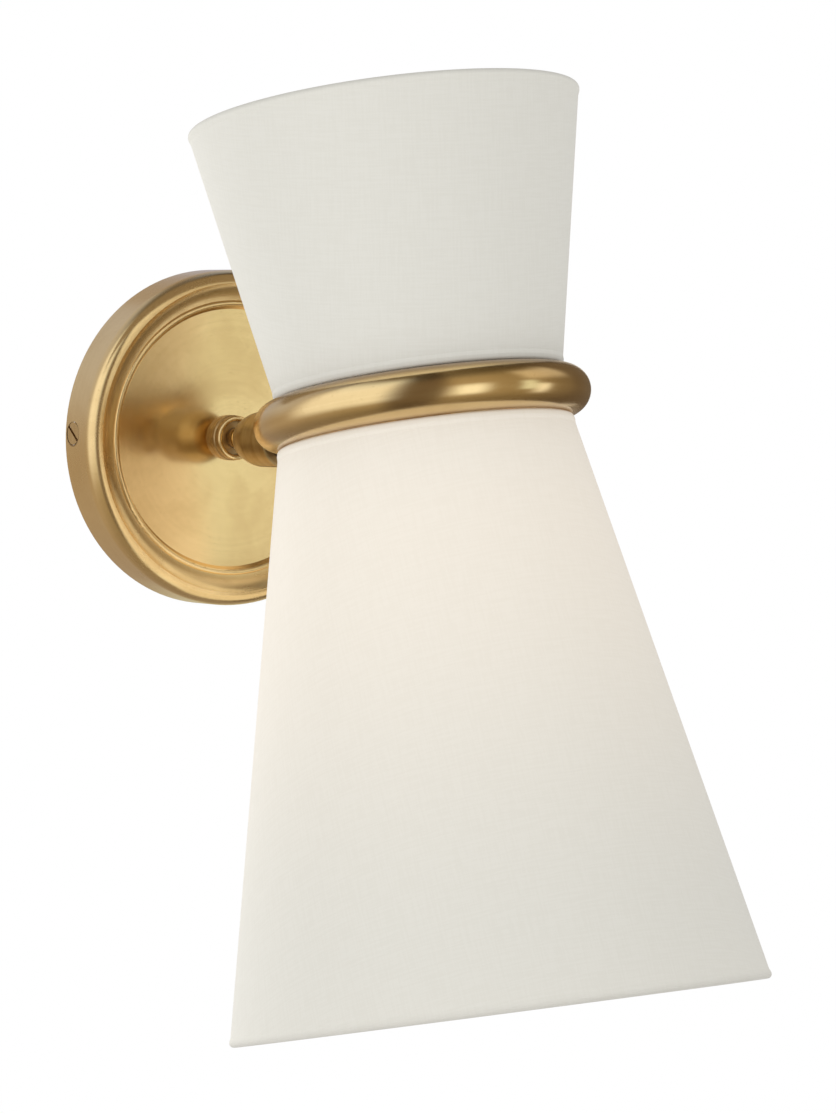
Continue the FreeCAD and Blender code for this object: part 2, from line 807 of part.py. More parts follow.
def main():
    os.makedirs("parts", exist_ok=True)
    upper_cloth = shade_cloth(waist_height, upper_rim_height)
    lower_cloth = shade_cloth(-lower_rim_drop, -waist_height)
    on_wall = {
        "backplate_cover": backplate_cover(),
        "mounting_bracket": mounting_bracket(),
        "cover_side_screws": cover_side_screws(),
        "ground_screw": ground_screw(),
        "swivel_bushing": swivel_bushing(),
        "bushing_locknut": bushing_locknut(),
        "collar_cup": collar_cup(),
    }
    on_arm = {
        "swivel_spindle": swivel_spindle(),
        "spindle_spring_washer": spindle_spring_washer(),
        "spindle_locknut": spindle_locknut(),
        "knuckle_bell": knuckle_bell(),
        "arm_rod": arm_rod(),
        "knuckle_fork": knuckle_fork(),
        "knuckle_screw": knuckle_screw(),
        "knuckle_washer": knuckle_washer(),
        "knuckle_nut": knuckle_nut(),
    }
    on_shade = {
        "knuckle_tongue": knuckle_tongue(),
        "arm_tube": arm_tube(),
        "waist_ring_left": half_of(waist_ring(), -1),
        "waist_ring_right": half_of(waist_ring(), 1),
        "hub": hub(),
        "hub_set_screw": hub_set_screw(),
        "socket_nipple": socket_nipple(),
        "upper_locknut": upper_locknut(),
        "socket_cap": socket_cap(),
        "socket_body": socket_body(),
        "socket_screw_shell": socket_screw_shell(),
        "socket_contact": socket_contact(),
        "shade_ring_nut": shade_ring_nut(),
        "bulb_base": bulb_base(),
        "bulb_glass": bulb_glass(),
        "upper_spider": upper_spider(),
        "upper_waist_wire": rim_wire(waist_height, 1),
        "upper_top_wire": rim_wire(upper_rim_height, -1),
        "upper_cloth_left": half_of(upper_cloth, -1),
        "upper_cloth_right": half_of(upper_cloth, 1),
        "upper_top_hem": hem(upper_rim_height, -1),
        "upper_waist_hem": notched_hem(upper_arm_start(), waist_height, 1),
        "lower_spider": lower_spider(),
        "lower_waist_wire": rim_wire(-waist_height, -1),
        "lower_bottom_wire": rim_wire(-lower_rim_drop, 1),
        "lower_cloth_left": half_of(lower_cloth, -1),
        "lower_cloth_right": half_of(lower_cloth, 1),
        "lower_bottom_hem": hem(-lower_rim_drop, 1),
        "lower_waist_hem": notched_hem(lower_arm_start(), -waist_height, -1),
    }
    for name, shape in {**on_wall, **on_arm}.items():
        save(name, shape)
    for name, shape in on_shade.items():
        save(name, on_head(shape))


main()
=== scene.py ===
"""Finishes, cloth shade and studio for the fabric shade wall light.

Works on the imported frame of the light, in metres: the wall is the plane Y = 0, the light
stands out towards -Y, X is to the right and Z is up.
"""

import json
import math

import bmesh
import bpy
from mathutils import Matrix, Quaternion, Vector

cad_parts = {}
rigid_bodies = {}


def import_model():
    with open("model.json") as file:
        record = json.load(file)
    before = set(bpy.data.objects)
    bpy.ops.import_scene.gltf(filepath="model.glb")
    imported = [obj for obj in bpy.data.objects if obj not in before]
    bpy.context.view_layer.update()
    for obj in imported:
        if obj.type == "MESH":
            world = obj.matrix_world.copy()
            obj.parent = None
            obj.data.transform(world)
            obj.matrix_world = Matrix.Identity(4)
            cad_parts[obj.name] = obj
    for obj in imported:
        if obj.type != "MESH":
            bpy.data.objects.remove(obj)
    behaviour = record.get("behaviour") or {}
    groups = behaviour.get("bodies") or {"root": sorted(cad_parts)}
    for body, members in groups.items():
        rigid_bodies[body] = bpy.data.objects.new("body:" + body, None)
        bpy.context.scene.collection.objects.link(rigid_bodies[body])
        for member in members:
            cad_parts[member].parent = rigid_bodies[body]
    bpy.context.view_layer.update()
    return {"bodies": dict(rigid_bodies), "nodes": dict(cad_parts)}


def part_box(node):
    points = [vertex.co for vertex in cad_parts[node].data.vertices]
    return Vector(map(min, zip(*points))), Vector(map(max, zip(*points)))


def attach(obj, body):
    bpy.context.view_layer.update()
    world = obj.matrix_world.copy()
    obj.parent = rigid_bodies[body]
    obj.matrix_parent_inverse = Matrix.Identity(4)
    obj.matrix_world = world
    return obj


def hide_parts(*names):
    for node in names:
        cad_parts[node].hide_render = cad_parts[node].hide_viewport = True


bl_info = {
    "name": "Fabric Shade Wall Light",
    "version": (1, 0, 0),
    "blender": (4, 5, 0),
    "location": "View3D > Sidebar > Wall Light",
    "description": "Brass finishes, a cloth shade and a studio for a swivelling wall light",
    "category": "Object",
}

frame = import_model()

FLAT_MAP = "flat_cloth"     # each point's place in the unrolled cloth, in metres
CLOTH_SEGMENTS = 360
ROUND_SEGMENTS = 256
SHARP_FROM = 40     # degrees that an edge turns


# Sizes and colours that a user would change


def length(name, description, default):
    """A length in metres, shown to a tenth of a millimetre."""
    return bpy.props.FloatProperty(name=name, description=description, default=default,
                                   min=0.0, precision=4, unit="LENGTH")


def angle(name, description, degrees):
    """An angle, given in degrees."""
    return bpy.props.FloatProperty(name=name, description=description,
                                   default=math.radians(degrees), unit="ROTATION")


def colour(name, description, default):
    """A colour, in linear values."""
    return bpy.props.FloatVectorProperty(name=name, description=description, default=default,
                                         size=3, min=0.0, max=1.0, subtype="COLOR")


def share(name, description, default):
    """A share from 0 to 1."""
    return bpy.props.FloatProperty(name=name, description=description, default=default,
                                   min=0.0, max=1.0, subtype="FACTOR")


class ShadeSizes(bpy.types.PropertyGroup):
    """Sizes of the cloth shade, its hems and the ring at its waist."""

    tilt: angle("Tilt", "How far the shade's top leans towards the wall at rest", 10.5)
    ring_radius: length("Ring radius", "From the shade's axis to the middle of the tube",
                        0.0575)
    ring_tube: length("Ring tube", "Radius of the tube that the ring is bent from", 0.0095)
    waist_height: length("Waist", "Height of each cone's rim above or below the ring's middle",
                         0.0097)
    upper_waist: length("Upper waist radius", "Upper cone at the ring", 0.057)
    upper_top: length("Upper top radius", "Upper cone at its open top", 0.078)
    upper_height: length("Upper height", "From the ring's middle to the top rim", 0.1197)
    lower_waist: length("Lower waist radius", "Lower cone at the ring", 0.0583)
    lower_bottom: length("Lower bottom radius", "Lower cone at its open bottom", 0.1065)
    lower_height: length("Lower height", "From the ring's middle to the bottom rim", 0.2389)
    cloth: length("Cloth", "Thickness of the linen with the card behind it", 0.001)
    hem: length("Hem height", "How far a folded hem reaches over a rim", 0.004)
    hem_lip: length("Hem thickness", "Thickness of the folded linen", 0.0003)
    hem_depth: length("Hem depth", "From the cloth's outside to the hem's inner fold", 0.00395)
    seam_lap: length("Seam lap", "Width of the lap where the sheet meets itself", 0.009)


class ShadeLook(bpy.types.PropertyGroup):
    """Colours of the linen and of the light behind it."""

    linen: colour("Linen", "Off-white linen", (0.80, 0.785, 0.72))
    linen_thread: colour("Linen thread", "The darker threads in the weave",
                         (0.715, 0.695, 0.62))
    glow: colour("Glow", "Lamplight that comes through the lower cone", (1.0, 0.71, 0.47))
    glow_strength: share("Glow strength", "How strongly the lower cone glows", 0.17)
    bulb: colour("Bulb", "Frosted bulb, lit", (1.0, 0.86, 0.66))
    thread: length("Thread", "Distance from one thread to the next", 0.00045)


class BrassLook(bpy.types.PropertyGroup):
    """Colours of the aged brass."""

    bright: colour("Bright brass", "Polished and rubbed places", (0.90, 0.675, 0.345))
    aged: colour("Aged brass", "Places that the polish has left", (0.64, 0.42, 0.17))
    recess: colour("Recess", "Brown in the corners", (0.20, 0.10, 0.035))
    age: share("Age", "How much of the brass has darkened", 0.4)


class StudioSettings(bpy.types.PropertyGroup):
    """Camera and studio."""

    azimuth: angle("Azimuth", "Camera's place round the light, to the right", -33.02)
    elevation: angle("Elevation", "Camera's height above the horizon", 3.97)
    roll: angle("Roll", "Turn of the camera about its line of sight", -1.69)
    distance: length("Distance", "From the camera to the point that it looks at", 2.1528)
    focal: bpy.props.FloatProperty(name="Focal length", description="Lens, in millimetres",
                                   default=168.54, min=1.0, unit="CAMERA")
    target: bpy.props.FloatVectorProperty(
        name="Target", description="What the camera looks at", size=3,
        default=(0.04956, -0.08, -0.05033), subtype="TRANSLATION", unit="LENGTH")
    floor_drop: length("Floor", "How far the floor lies under the backplate's middle", 0.6)
    floor_radius: length("Floor radius", "Radius of the round floor", 2.0)
    ambient: share("Ambient", "White light from all round", 0.65)


# Node tools


def feed(tree, socket, value):
    """Link a socket to another one, or give it a value."""
    if isinstance(value, bpy.types.NodeSocket):
        tree.links.new(value, socket)
    else:
        socket.default_value = value


def add(tree, kind, settings=None, **inputs):
    """A node. Settings are its own values. Inputs are sockets to link or values to set, named
    as the sockets are, with _ for a space."""
    node = tree.nodes.new(kind)
    for key, value in (settings or {}).items():
        setattr(node, key, value)
    for key, value in inputs.items():
        name = key.replace("_", " ")
        found = [s for s in node.inputs if s.name == name and s.enabled]
        if not found:
            raise ValueError("%s has no input %s" % (kind, name))
        feed(tree, found[0], value)
    return node


def maths(tree, operation, *values):
    """A Math node's result."""
    node = add(tree, "ShaderNodeMath", {"operation": operation})
    for socket, value in zip(node.inputs, values):
        feed(tree, socket, value)
    return node.outputs[0]


def vector_maths(tree, operation, *values):
    """A Vector Math node's results."""
    node = add(tree, "ShaderNodeVectorMath", {"operation": operation})
    for socket, value in zip(node.inputs, values):
        feed(tree, socket, value)
    return node.outputs


def split(tree, vector):
    """The parts of a vector."""
    return add(tree, "ShaderNodeSeparateXYZ", Vector=vector).outputs


def joined(tree, **parts):
    """A vector from its parts."""
    return add(tree, "ShaderNodeCombineXYZ", **parts).outputs[0]


def length_of(tree, vector):
    """Length of a vector."""
    return vector_maths(tree, "LENGTH", vector)["Value"]


def off_by(tree, value, middle):
    """How far a value is from a middle one."""
    return maths(tree, "ABSOLUTE", maths(tree, "SUBTRACT", value, middle))


def noise(tree, vector, **settings):
    """A Noise Texture's value."""
    return add(tree, "ShaderNodeTexNoise", Vector=vector, **settings).outputs["Fac"]


def own_place(tree):
    """A point's place in its own piece, in metres."""
    return add(tree, "ShaderNodeTexCoord").outputs["Object"]


COLOUR_RESULT = 2     # place of the Mix node's colour among its outputs


def blend(tree, mask, a, b):
    """Colour a where the mask is 0 and b where it is 1."""
    return add(tree, "ShaderNodeMix", {"data_type": "RGBA"}, Factor=mask, A=a,
               B=b).outputs[COLOUR_RESULT]


def ranged(tree, value, low, high, to_low=0.0, to_high=1.0, shape="SMOOTHSTEP"):
    """A value, moved from one range to another and held inside it."""
    node = add(tree, "ShaderNodeMapRange", {"interpolation_type": shape}, Value=value,
               From_Min=low, From_Max=high, To_Min=to_low, To_Max=to_high)
    return node.outputs["Result"]


def opaque(rgb):
    """A colour with full alpha."""
    return (rgb[0], rgb[1], rgb[2], 1.0)


BLACK, WHITE = opaque((0.0, 0.0, 0.0)), opaque((1.0, 1.0, 1.0))


def group(name, inputs, outputs):
    """A shader node group, the values that come in and the sockets that take its results."""
    tree = bpy.data.node_groups.new(name, "ShaderNodeTree")
    for label, kind, default in inputs:
        socket = tree.interface.new_socket(name=label, in_out="INPUT", socket_type=kind)
        if default is not None:
            socket.default_value = default
    for label, kind in outputs:
        tree.interface.new_socket(name=label, in_out="OUTPUT", socket_type=kind)
    put, out = tree.nodes.new("NodeGroupInput"), tree.nodes.new("NodeGroupOutput")
    return tree, put.outputs, out.inputs


def give(tree, out, **values):
    """Link a group's results to its outputs."""
    for name, value in values.items():
        tree.links.new(value, out[name])


FLOAT, VECTOR, COLOUR = "NodeSocketFloat", "NodeSocketVector", "NodeSocketColor"


def placed(tree, name, **inputs):
    """A node group placed in a material."""
    return add(tree, "ShaderNodeGroup", {"node_tree": bpy.data.node_groups[name]}, **inputs)


def turning_marks():
    """Lines round an axis: Z of the vector. They come from the radius and the height."""
    tree, put, out = group("Turning Marks", [
        ("Vector", VECTOR, None), ("Pitch", FLOAT, 0.0005), ("Length", FLOAT, 0.02)],
        [("Lines", FLOAT), ("Streaks", FLOAT)])
    xyz = split(tree, put["Vector"])
    radius = length_of(tree, joined(tree, X=xyz["X"], Y=xyz["Y"]))
    fine = maths(tree, "DIVIDE", 1.0, put["Pitch"])
    slow = maths(tree, "DIVIDE", 1.0, put["Length"])
    for name, coarseness in (("Lines", 1.0), ("Streaks", 0.22)):
        across, along = (maths(tree, "MULTIPLY", v, coarseness) for v in (fine, slow))
        place = joined(tree, X=maths(tree, "MULTIPLY", xyz["X"], along),
                       Y=maths(tree, "MULTIPLY", xyz["Y"], along),
                       Z=maths(tree, "MULTIPLY", radius, across))
        mark = add(tree, "ShaderNodeTexNoise", {"noise_dimensions": "4D"}, Vector=place,
                   Scale=1.0, Detail=2.0, Roughness=0.6,
                   W=maths(tree, "MULTIPLY", xyz["Z"], across))
        give(tree, out, **{name: mark.outputs["Fac"]})


def edge_wear():
    """1 on outer edges that hands and cloths have rubbed."""
    tree, put, out = group("Edge Wear", [("Radius", FLOAT, 0.0006), ("Vector", VECTOR, None)],
                           [("Edge", FLOAT)])
    rounded_off = add(tree, "ShaderNodeBevel", {"samples": 4}, Radius=put["Radius"]).outputs[0]
    plain = add(tree, "ShaderNodeNewGeometry").outputs["Normal"]
    alike = vector_maths(tree, "DOT_PRODUCT", rounded_off, plain)["Value"]
    unworn, worn = 0.995, 0.86
    broken = noise(tree, put["Vector"], Scale=420.0, Detail=3.0)
    give(tree, out, Edge=maths(tree, "MULTIPLY", ranged(tree, alike, unworn, worn),
                               ranged(tree, broken, 0.3, 0.6)))


def recess_shade():
    """1 deep in corners, where dirt and old lacquer gather."""
    tree, put, out = group("Recess", [("Reach", FLOAT, 0.004)], [("Depth", FLOAT)])
    open_sky = add(tree, "ShaderNodeAmbientOcclusion", {"samples": 4, "only_local": True},
                   Distance=put["Reach"]).outputs["AO"]
    clear, filled = 0.75, 0.25
    give(tree, out, Depth=ranged(tree, open_sky, clear, filled))


def aged_brass():
    """Colour, roughness and height of brass that was spun or turned and has aged."""
    tree, put, out = group("Aged Brass", [
        ("Vector", VECTOR, None), ("Lines", FLOAT, 0.5), ("Streaks", FLOAT, 0.5),
        ("Edge", FLOAT, 0.0), ("Depth", FLOAT, 0.0), ("Age", FLOAT, 0.4),
        ("Bright", COLOUR, None), ("Aged", COLOUR, None), ("Recess", COLOUR, None)],
        [("Color", COLOUR), ("Roughness", FLOAT), ("Height", FLOAT)])
    cloud = noise(tree, put["Vector"], Scale=38.0, Detail=5.0, Roughness=0.62, Distortion=0.4)
    speck = noise(tree, put["Vector"], Scale=900.0, Detail=2.0)
    scratch = ranged(tree, put["Streaks"], 0.36, 0.64)
    blotch = ranged(tree, cloud, 0.36, 0.7)
    scratch_share, blotch_share, pit_share = 0.42, 0.62, 0.35
    recess_share, edge_share = 0.85, 0.7
    dark = maths(tree, "MULTIPLY_ADD", scratch, scratch_share,
                 maths(tree, "MULTIPLY", blotch, blotch_share))
    dark = maths(tree, "MAXIMUM", maths(tree, "MULTIPLY", dark, put["Age"]), 0.0)
    skin = blend(tree, dark, put["Bright"], put["Aged"])
    pits = maths(tree, "MULTIPLY", ranged(tree, speck, 0.64, 0.74), pit_share)
    skin = blend(tree, pits, skin, put["Aged"])
    # Depth holds the patina in recesses and any painted shade bands; both darken the brass
    # towards the recess colour.
    dirt = maths(tree, "MULTIPLY", put["Depth"], recess_share)
    skin = blend(tree, dirt, skin, put["Recess"])
    rubbed = maths(tree, "MULTIPLY", put["Edge"], edge_share)
    skin = blend(tree, rubbed, skin, put["Bright"])
    polished, blotch_dulls, lines_dull, depth_dulls, streak_height = 0.19, 0.07, 0.06, 0.2, 0.8
    rough = maths(tree, "MULTIPLY_ADD", put["Lines"], lines_dull,
                  maths(tree, "MULTIPLY_ADD", blotch, blotch_dulls, polished))
    give(tree, out, Color=skin,
         Roughness=maths(tree, "MULTIPLY_ADD", put["Depth"], depth_dulls, rough),
         Height=maths(tree, "MULTIPLY_ADD", put["Streaks"], streak_height, put["Lines"]))


def linen_weave():
    """Threads of plain linen. The vector runs over the flat cloth, in metres."""
    tree, put, out = group("Linen Weave", [
        ("Vector", VECTOR, None), ("Thread", FLOAT, 0.0006)],
        [("Tone", FLOAT), ("Height", FLOAT)])
    xyz = split(tree, put["Vector"])
    side_share, over_share, slub_width, slub_length = 0.35, 0.15, 0.5, 0.03
    threads, slubs = [], []
    for along, across, shift in (("X", "Y", 0.0), ("Y", "X", 7.3)):
        side = maths(tree, "DIVIDE", xyz[across], put["Thread"])
        run = maths(tree, "DIVIDE", xyz[along], put["Thread"])
        wave = maths(tree, "SINE", maths(tree, "MULTIPLY", side, 2 * math.pi))
        over = maths(tree, "SINE", maths(tree, "MULTIPLY", run, math.pi))
        threads.append(maths(tree, "MULTIPLY_ADD", wave, side_share,
                             maths(tree, "MULTIPLY", over, over_share)))
        place = joined(tree, X=maths(tree, "MULTIPLY", side, slub_width),
                       Y=maths(tree, "MULTIPLY_ADD", run, slub_length, shift))
        slub = add(tree, "ShaderNodeTexNoise", {"noise_dimensions": "2D"}, Scale=1.0,
                   Detail=2.0, Vector=place)
        slubs.append(slub.outputs["Fac"])
    weave = maths(tree, "MULTIPLY_ADD", maths(tree, "ADD", *threads), 0.5, 0.5)
    slub = maths(tree, "MULTIPLY", maths(tree, "ADD", *slubs), 0.5)
    slub_share, slub_height = 0.8, 1.4
    give(tree, out,
         Tone=maths(tree, "MULTIPLY_ADD", ranged(tree, slub, 0.38, 0.62), slub_share,
                    maths(tree, "MULTIPLY", weave, 1.0 - slub_share)),
         Height=maths(tree, "MULTIPLY_ADD", slub, slub_height, weave))


def lamp_glow():
    """Lamplight through the cloth: strongest beside the bulb, fading to the rims. Heights are
    in metres from the ring's middle."""
    tree, put, out = group("Lamp Glow", [
        ("Height", FLOAT, 0.0), ("Colour", COLOUR, None), ("Strength", FLOAT, 0.2)],
        [("Color", COLOUR)])
    at_ring, beside_bulb, bulb_top, at_rim = -0.010, -0.050, -0.045, -0.220
    ring_share, everywhere = 0.88, 0.07
    above = ranged(tree, put["Height"], at_ring, beside_bulb, ring_share, 1.0)
    below = ranged(tree, put["Height"], at_rim, bulb_top)
    mask = maths(tree, "MULTIPLY_ADD", maths(tree, "MULTIPLY", above, below),
                 1.0 - everywhere, everywhere)
    give(tree, out, Color=blend(tree, maths(tree, "MULTIPLY", mask, put["Strength"]), BLACK,
                                put["Colour"]))


def plated_steel():
    """Colour and roughness of zinc plate or plain tin, with its faint clouds."""
    tree, put, out = group("Plated Metal", [
        ("Vector", VECTOR, None), ("Light", COLOUR, None), ("Dark", COLOUR, None),
        ("Scale", FLOAT, 300.0)], [("Color", COLOUR), ("Roughness", FLOAT), ("Height", FLOAT)])
    cells = add(tree, "ShaderNodeTexVoronoi", Vector=put["Vector"], Scale=put["Scale"],
                Randomness=1.0).outputs["Color"]
    tone = add(tree, "ShaderNodeSeparateColor", Color=cells).outputs[0]
    cloud = noise(tree, put["Vector"], Scale=120.0, Detail=4.0)
    cell_share, cloud_share, dark_dulls, smoothest = 0.35, 0.6, 0.25, 0.22
    mask = maths(tree, "MULTIPLY_ADD", tone, cell_share,
                 maths(tree, "MULTIPLY", cloud, cloud_share))
    give(tree, out, Color=blend(tree, mask, put["Light"], put["Dark"]),
         Roughness=maths(tree, "MULTIPLY_ADD", mask, dark_dulls, smoothest), Height=cloud)


def skin_texture():
    """Fine orange peel of paint, moulded plastic or frosted glass."""
    tree, put, out = group("Fine Skin", [
        ("Vector", VECTOR, None), ("Scale", FLOAT, 900.0), ("Light", COLOUR, None),
        ("Dark", COLOUR, None), ("Low", FLOAT, 0.35), ("High", FLOAT, 0.5)],
        [("Color", COLOUR), ("Roughness", FLOAT), ("Height", FLOAT)])
    peel = noise(tree, put["Vector"], Scale=put["Scale"], Detail=3.0)
    cloud = noise(tree, put["Vector"], Scale=45.0, Detail=4.0)
    mask = ranged(tree, cloud, 0.3, 0.7)
    give(tree, out, Color=blend(tree, mask, put["Light"], put["Dark"]),
         Roughness=ranged(tree, peel, 0.3, 0.7, put["Low"], put["High"], "LINEAR"),
         Height=peel)


GROUPS = (turning_marks, edge_wear, recess_shade, aged_brass, linen_weave, lamp_glow,
          plated_steel, skin_texture)


# Materials


def material(name):
    """An empty node material with its Principled shader."""
    made = bpy.data.materials.new(name)
    made.use_nodes = True
    tree = made.node_tree
    shader = tree.nodes["Principled BSDF"]
    return made, tree, shader


def relief(tree, shader, height, strength, depth):
    """Bump from a height. Its depth is in metres."""
    bump = add(tree, "ShaderNodeBump", Height=height, Strength=strength, Distance=depth)
    tree.links.new(bump.outputs["Normal"], shader.inputs["Normal"])


def skinned(tree, shader, skin, strength, depth):
    """Give a shader the colour, the roughness and the height that a group makes."""
    tree.links.new(skin["Color"], shader.inputs["Base Color"])
    tree.links.new(skin["Roughness"], shader.inputs["Roughness"])
    relief(tree, shader, skin["Height"], strength, depth)


def on_axis(tree, origin, turn):
    """Object coordinates seen from a turned part's own axis, along Z."""
    return add(tree, "ShaderNodeMapping", {"vector_type": "TEXTURE"}, Vector=own_place(tree),
               Location=origin, Rotation=turn).outputs["Vector"]


def brass(name, origin, turn, pitch, streak, age=None, coat=0.2, polish=0.0, marked=1.0,
          tone=1.0, brushed=None, shade_bands=(), screws=False):
    """Aged brass with turning marks round one axis. Marked is how much the marks show, and
    tone brightens or darkens the metal. Brushed is (radius, roughness added outside it). Each
    row of shade bands is painted shade: (height where it starts, height where it is darkest,
    share). Screws adds a thin dark ring round their heads."""
    look = bpy.context.scene.wall_light_brass
    made, tree, shader = material(name)
    vector = on_axis(tree, origin, turn)
    marks = placed(tree, "Turning Marks", Vector=vector, Pitch=pitch, Length=streak).outputs
    edge = placed(tree, "Edge Wear", Vector=vector).outputs["Edge"]
    depth = placed(tree, "Recess").outputs["Depth"]
    xyz = split(tree, vector)
    # Painted shade: each band darkens the brass between two heights along its axis.
    for clear, dark, most in shade_bands:
        depth = maths(tree, "MAXIMUM", depth, ranged(tree, xyz["Z"], clear, dark, 0.0, most))
    if screws:
        depth = maths(tree, "MAXIMUM", depth, screw_head_rings(tree))
    streaks = maths(tree, "MULTIPLY_ADD", marks["Streaks"], marked, 0.5 - 0.5 * marked)
    skin = placed(tree, "Aged Brass", Vector=vector, Lines=marks["Lines"], Streaks=streaks,
                  Edge=edge, Depth=depth, Age=look.age if age is None else age,
                  Bright=opaque([v * tone for v in look.bright]),
                  Aged=opaque([v * tone for v in look.aged]),
                  Recess=opaque(look.recess)).outputs
    tree.links.new(skin["Color"], shader.inputs["Base Color"])
    rough = maths(tree, "SUBTRACT", skin["Roughness"], polish)
    if brushed:
        radius, added = brushed
        soft = 0.001
        away = length_of(tree, joined(tree, X=xyz["X"], Y=xyz["Y"]))
        rough = maths(tree, "ADD", rough,
                      ranged(tree, away, radius - soft, radius + soft, 0.0, added))
    tree.links.new(rough, shader.inputs["Roughness"])
    shader.inputs["Metallic"].default_value = 1.0
    shader.inputs["Coat Weight"].default_value = coat
    shader.inputs["Coat Roughness"].default_value = 0.2
    mark_depth = 0.00002
    relief(tree, shader, skin["Height"], 0.5, mark_depth * marked)
    return made


def screw_head_rings(tree):
    """A thin dark ring round each side screw of the cover."""
    head, faded, darkest = 0.0048, 0.0006, 0.0001
    wall_starts, wall_full = 0.055, 0.060
    low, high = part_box("cover_side_screws")
    middle = (low + high) / 2
    rise = (high.z - low.z) / 2 - head
    lean = rise / ((high.x - low.x) / 2)
    xyz = split(tree, own_place(tree))
    level = maths(tree, "MULTIPLY_ADD", xyz["X"], lean,
                  maths(tree, "SUBTRACT", xyz["Z"], middle.z))
    away = length_of(tree, joined(tree, X=maths(tree, "SUBTRACT", xyz["Y"], middle.y),
                                  Y=level))
    ring = ranged(tree, off_by(tree, away, head), faded, darkest)
    wall = ranged(tree, maths(tree, "ABSOLUTE", xyz["X"]), wall_starts, wall_full)
    return maths(tree, "MULTIPLY", ring, wall)


def plated(name, light, dark, scale=300.0):
    """Zinc, tin or plain bright metal."""
    made, tree, shader = material(name)
    skin = placed(tree, "Plated Metal", Vector=own_place(tree), Light=opaque(light),
                  Dark=opaque(dark), Scale=scale).outputs
    skinned(tree, shader, skin, strength=0.4, depth=0.00005)
    shader.inputs["Metallic"].default_value = 1.0
    return made


def coated(name, light, dark, low, high):
    """Paint, moulded plastic or frosted glass. Low and high are its roughness."""
    made, tree, shader = material(name)
    skin = placed(tree, "Fine Skin", Vector=own_place(tree), Light=opaque(light),
                  Dark=opaque(dark), Low=low, High=high).outputs
    skinned(tree, shader, skin, strength=0.35, depth=0.00006)
    return made, tree, shader


def linen(name, strength, fold=None):
    """Linen on card, lit from behind where the bulb is near. Fold is a rim's height, how far
    from it painted shade darkens the folded linen, and by what share."""
    look = bpy.context.scene.wall_light_linen
    made, tree, shader = material(name)
    flat = add(tree, "ShaderNodeUVMap", {"uv_map": FLAT_MAP}).outputs["UV"]
    weave = placed(tree, "Linen Weave", Vector=flat, Thread=look.thread).outputs
    height = split(tree, on_axis(tree, *shade_axis()))["Z"]
    thread_share, fold_shade_colour = 0.26, (0.12, 0.115, 0.105)
    skin = blend(tree, maths(tree, "MULTIPLY", weave["Tone"], thread_share),
                 opaque(look.linen), opaque(look.linen_thread))
    # Painted shade: the rolled linen by a rim is darkened towards a dark grey.
    if fold:
        rim, far, most = fold
        skin = blend(tree, ranged(tree, off_by(tree, height, rim), far, 0.0, 0.0, most), skin,
                     opaque(fold_shade_colour))
    tree.links.new(skin, shader.inputs["Base Color"])
    if strength:
        glow = placed(tree, "Lamp Glow", Height=height, Colour=opaque(look.glow),
                      Strength=strength)
        tree.links.new(glow.outputs["Color"], shader.inputs["Emission Color"])
        shader.inputs["Emission Strength"].default_value = 1.0
    roughest, smoothest = 0.92, 0.82
    tree.links.new(maths(tree, "MULTIPLY_ADD", weave["Tone"], roughest - smoothest, smoothest),
                   shader.inputs["Roughness"])
    shader.inputs["Sheen Weight"].default_value = 0.15
    shader.inputs["Sheen Roughness"].default_value = 0.5
    shader.inputs["Specular IOR Level"].default_value = 0.25
    relief(tree, shader, weave["Height"], strength=0.2, depth=0.00006)
    return made


def finish_nodes(made, *nodes):
    """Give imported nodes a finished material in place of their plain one."""
    for name in nodes:
        slots = frame["nodes"][name].material_slots
        if not slots:
            raise ValueError("%s has no material slot" % name)
        for place in slots:
            place.material = made


# Shapes


def ring_centre():
    """Middle of the ring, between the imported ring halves."""
    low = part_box("waist_ring_left")[0]
    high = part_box("waist_ring_right")[1]
    return (low + high) / 2


def shade_axis(lean=0.0):
    """The ring's middle and the turn of the shade's axis, or of one that leans from it."""
    return ring_centre(), (lean - bpy.context.scene.wall_light_shade.tilt, 0.0, 0.0)


def piece_from(name, shape):
    """An object with the shape that was built."""
    mesh = bpy.data.meshes.new(name)
    shape.to_mesh(mesh)
    shape.free()
    piece = bpy.data.objects.new(name, mesh)
    bpy.context.scene.collection.objects.link(piece)
    return piece


def cone(height):
    """Heights of the two rims, and their radii, of the cone that a height lies in."""
    sizes = bpy.context.scene.wall_light_shade
    if height > 0:
        return sizes.waist_height, sizes.upper_height, sizes.upper_waist, sizes.upper_top
    return -sizes.waist_height, -sizes.lower_height, sizes.lower_waist, sizes.lower_bottom


def cloth_radius(height):
    """Outside radius of the cloth at a height above the ring's middle."""
    low, high, inner, outer = cone(height)
    return inner + (outer - inner) * (height - low) / (high - low)


def rounded(points, radii):
    """A closed outline whose corners are rounded, as (radius, height) points."""
    steps = 6
    outline = []
    count = len(points)
    for i, point in enumerate(points):
        here = Vector(point)
        before = (Vector(points[i - 1]) - here).normalized()
        after = (Vector(points[(i + 1) % count]) - here).normalized()
        if not radii[i]:
            outline.append(here)
            continue
        half = before.angle(after) / 2
        setback = radii[i] / math.tan(half)
        start, end = here + before * setback, here + after * setback
        centre = here + (before + after).normalized() * radii[i] / math.sin(half)
        first = start - centre
        sweep = first.angle_signed(end - centre)
        for k in range(steps + 1):
            turn = Matrix.Rotation(-sweep * k / steps, 2)
            outline.append(centre + turn @ first)
    return outline


